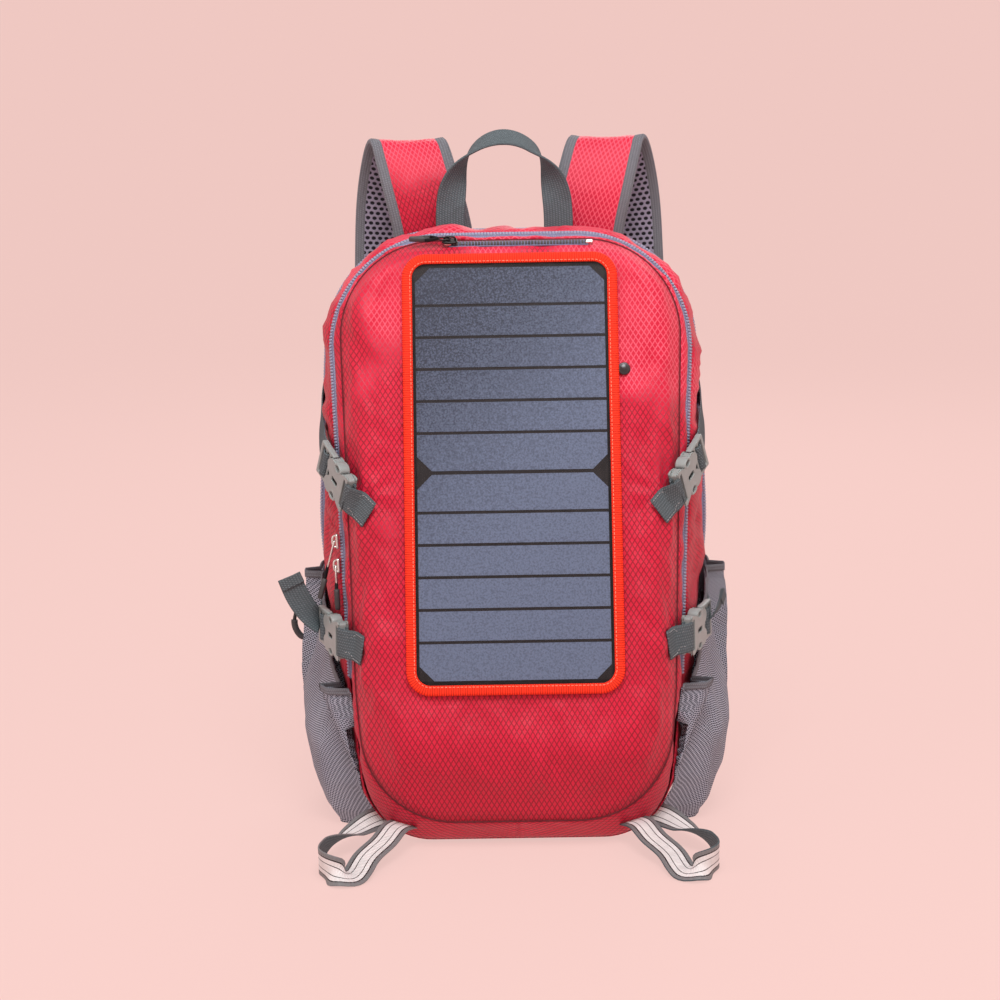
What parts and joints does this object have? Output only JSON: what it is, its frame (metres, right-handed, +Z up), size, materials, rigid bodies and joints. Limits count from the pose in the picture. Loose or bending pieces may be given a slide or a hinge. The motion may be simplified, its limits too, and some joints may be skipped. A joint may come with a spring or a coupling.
{
  "type": "solar backpack",
  "caption": "Arched daypack with a bound solar panel lying on its sloping front, padded shoulder straps, mesh side pockets, buckled compression straps and loops at the base.",
  "frame": {"origin": "on the floor under the base", "axes": "+Z up, the solar panel and front face -Y, the wearer's side faces +Y, +X is right as seen from the front"},
  "size_m": [0.3818, 0.3447, 0.5782],
  "materials": {
    "solar_cell": "deep blue-grey silicon",
    "ripstop": "red diamond ripstop nylon",
    "pocket_mesh": "grey mesh",
    "air_mesh": "padded air mesh",
    "zip_grey": "lavender grey coil zip",
    "zip_black": "black coil zip",
    "buckle_plastic": "grey acetal",
    "webbing": "grey webbing",
    "reflective": "retroreflective tape on webbing",
    "bright_metal": "nickel plate",
    "black_metal": "black enamel",
    "pull_rubber": "moulded rubber on cord",
    "coated_wire": "vinyl coated wire",
    "black_board": "black backsheet",
    "clear_film": "clear front film",
    "border_webbing": "orange-red ribbed binding",
    "black_plastic": "black housing"
  },
  "bodies": {
    "bag": {"back_pad": "air_mesh", "back_panel": "air_mesh", "buckle_female_lower_left": "buckle_plastic", "buckle_female_lower_right": "buckle_plastic", "buckle_female_upper_left": "buckle_plastic", "buckle_female_upper_right": "buckle_plastic", "front_gusset": "ripstop", "front_panel": "ripstop", "gear_loop_left": "reflective", "gear_loop_right": "reflective", "main_gusset": "ripstop", "main_zip": "zip_grey", "pocket_zip": "zip_black", "rear_gusset": "ripstop", "rear_zip": "zip_grey", "shoulder_strap_left": "ripstop", "shoulder_strap_right": "ripstop", "side_pocket_left": "pocket_mesh", "side_pocket_right": "pocket_mesh", "snap_stud": "bright_metal", "strap_webbing_left": "webbing", "strap_webbing_right": "webbing", "webbing_front_lower_left": "webbing", "webbing_front_lower_right": "webbing", "webbing_front_upper_left": "webbing", "webbing_front_upper_right": "webbing", "webbing_rear_lower_left": "webbing", "webbing_rear_lower_right": "webbing", "webbing_rear_upper_left": "webbing", "webbing_rear_upper_right": "webbing"},
    "solar_panel": {"panel_board": "black_board", "panel_laminate": "clear_film", "panel_border": "border_webbing", "junction_box": "black_plastic", "snap_cap": "bright_metal", "cell_strip_01": "solar_cell", "cell_strip_02": "solar_cell", "cell_strip_03": "solar_cell", "cell_strip_04": "solar_cell", "cell_strip_05": "solar_cell", "cell_strip_06": "solar_cell", "cell_strip_07": "solar_cell", "cell_strip_08": "solar_cell", "cell_strip_09": "solar_cell", "cell_strip_10": "solar_cell", "cell_strip_11": "solar_cell", "cell_strip_12": "solar_cell"},
    "haul_handle": {"haul_handle": "webbing"},
    "main_slider_upper": {"main_slider_upper": "bright_metal"},
    "main_slider_lower": {"main_slider_lower": "bright_metal"},
    "main_pull_upper": {"main_pull_upper": "pull_rubber"},
    "main_pull_lower": {"main_pull_lower": "pull_rubber"},
    "pocket_slider": {"pocket_slider": "black_metal"},
    "pocket_pull": {"pocket_pull": "pull_rubber"},
    "hook": {"hook_body": "coated_wire"},
    "hook_gate": {"hook_gate": "bright_metal"},
    "buckle_upper_left": {"buckle_male_upper_left": "buckle_plastic"},
    "buckle_upper_right": {"buckle_male_upper_right": "buckle_plastic"},
    "buckle_lower_left": {"buckle_male_lower_left": "buckle_plastic"},
    "buckle_lower_right": {"buckle_male_lower_right": "buckle_plastic"}
  },
  "joints": [
    {"name": "panel_lift", "type": "slide", "parent": "bag", "child": "solar_panel", "axis": [0, -0.9588, 0.284], "range_m": [0, 0.06]},
    {"name": "handle_fold", "type": "hinge", "parent": "bag", "child": "haul_handle", "pos_m": [0, 0.0836, 0.4896], "axis": [1, 0, 0], "range_deg": [0, 35]},
    {"name": "main_zip_upper", "type": "slide", "parent": "bag", "child": "main_slider_upper", "axis": [-0.0424, 0.2077, 0.9773], "range_m": [0, 0.022]},
    {"name": "main_pull_upper_swing", "type": "hinge", "parent": "main_slider_upper", "child": "main_pull_upper", "pos_m": [-0.1499, -0.02776, 0.24576], "axis": [0, 0.9781, -0.2079], "range_deg": [0, 90]},
    {"name": "main_zip_lower", "type": "slide", "parent": "bag", "child": "main_slider_lower", "axis": [-0.0424, 0.2077, 0.9773], "range_m": [0, 0.007]},
    {"name": "main_pull_lower_swing", "type": "hinge", "parent": "main_slider_lower", "child": "main_pull_lower", "pos_m": [-0.14903, -0.03201, 0.22576], "axis": [0, 0.9781, -0.2079], "range_deg": [0, 90]},
    {"name": "pocket_zip_slide", "type": "slide", "parent": "bag", "child": "pocket_slider", "axis": [1, 0, 0], "range_m": [0, 0.1]},
    {"name": "pocket_pull_swing", "type": "hinge", "parent": "pocket_slider", "child": "pocket_pull", "pos_m": [-0.049, 0.00501, 0.49392], "axis": [0, 0.9466, 0.3224], "range_deg": [0, 100]},
    {"name": "buckle_upper_left_release", "type": "slide", "parent": "bag", "child": "buckle_upper_left", "axis": [-0.4274, 0.7734, 0.4681], "range_m": [0, 0.022]},
    {"name": "buckle_upper_right_release", "type": "slide", "parent": "bag", "child": "buckle_upper_right", "axis": [0.4274, 0.7734, 0.4681], "range_m": [0, 0.022]},
    {"name": "buckle_lower_left_release", "type": "slide", "parent": "bag", "child": "buckle_lower_left", "axis": [-0.3811, 0.9226, 0.0602], "range_m": [0, 0.022]},
    {"name": "buckle_lower_right_release", "type": "slide", "parent": "bag", "child": "buckle_lower_right", "axis": [0.3811, 0.9226, 0.0602], "range_m": [0, 0.022]},
    {"name": "hook_swing", "type": "hinge", "parent": "bag", "child": "hook", "pos_m": [-0.1845, 0.073, 0.1785], "axis": [0, 1, 0], "range_deg": [-15, 15]},
    {"name": "hook_gate_open", "type": "hinge", "parent": "hook", "child": "hook_gate", "pos_m": [-0.1813, 0.073, 0.1735], "axis": [0, 1, 0], "range_deg": [0, 25], "stiffness_Nm_per_rad": 0.02}
  ]
}
